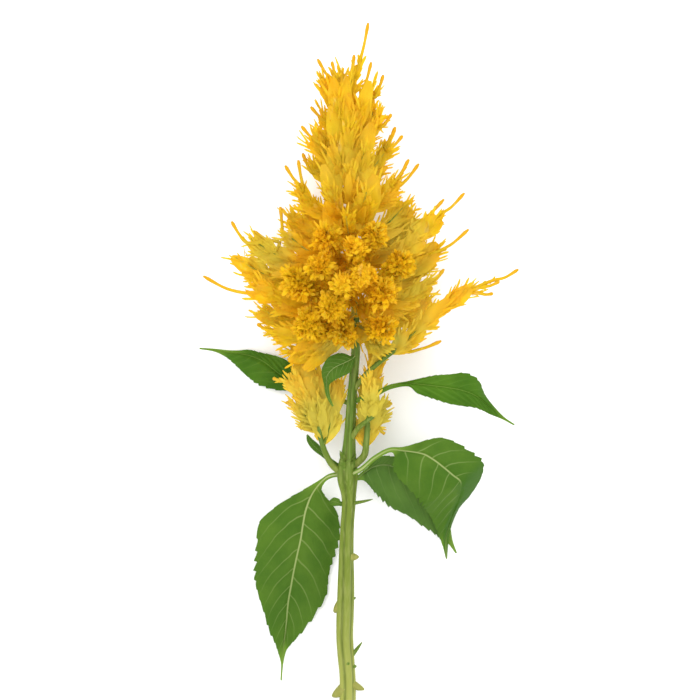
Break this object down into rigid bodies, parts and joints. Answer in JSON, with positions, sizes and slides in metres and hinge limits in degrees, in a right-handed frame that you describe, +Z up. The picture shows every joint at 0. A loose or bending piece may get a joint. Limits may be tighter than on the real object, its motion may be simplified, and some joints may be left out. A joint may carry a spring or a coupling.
{
  "type": "plume celosia",
  "caption": "Cut flowering stem of plume celosia with a feathery yellow plume, side sprays and green leaves, laid on its side on a table.",
  "frame": {"origin": "middle of the footprint, on the surface that the stem lies on", "axes": "+Y along the stem to the tip of the plume, +Z up away from the surface, +X to the right seen from above"},
  "size_m": [0.1601, 0.3644, 0.073],
  "materials": {
    "stem": "satin, fresh green",
    "leaf": "satin leaf",
    "leaf_behind": "satin leaf",
    "plume": "matte, papery"
  },
  "bodies": {
    "root": {"stem": "stem", "plume": "plume", "spray_left_low": "plume", "spray_right_low": "plume", "spray_front_low": "plume", "spray_right_long": "plume", "leaf_lower_left": "leaf", "leaf_lower_right": "leaf", "leaf_lower_right_behind": "leaf_behind", "leaf_upper_right": "leaf", "leaf_upper_left": "leaf", "leaf_small_plume": "leaf", "leaf_small_left": "leaf", "leaf_small_node": "leaf"}
  },
  "joints": []
}
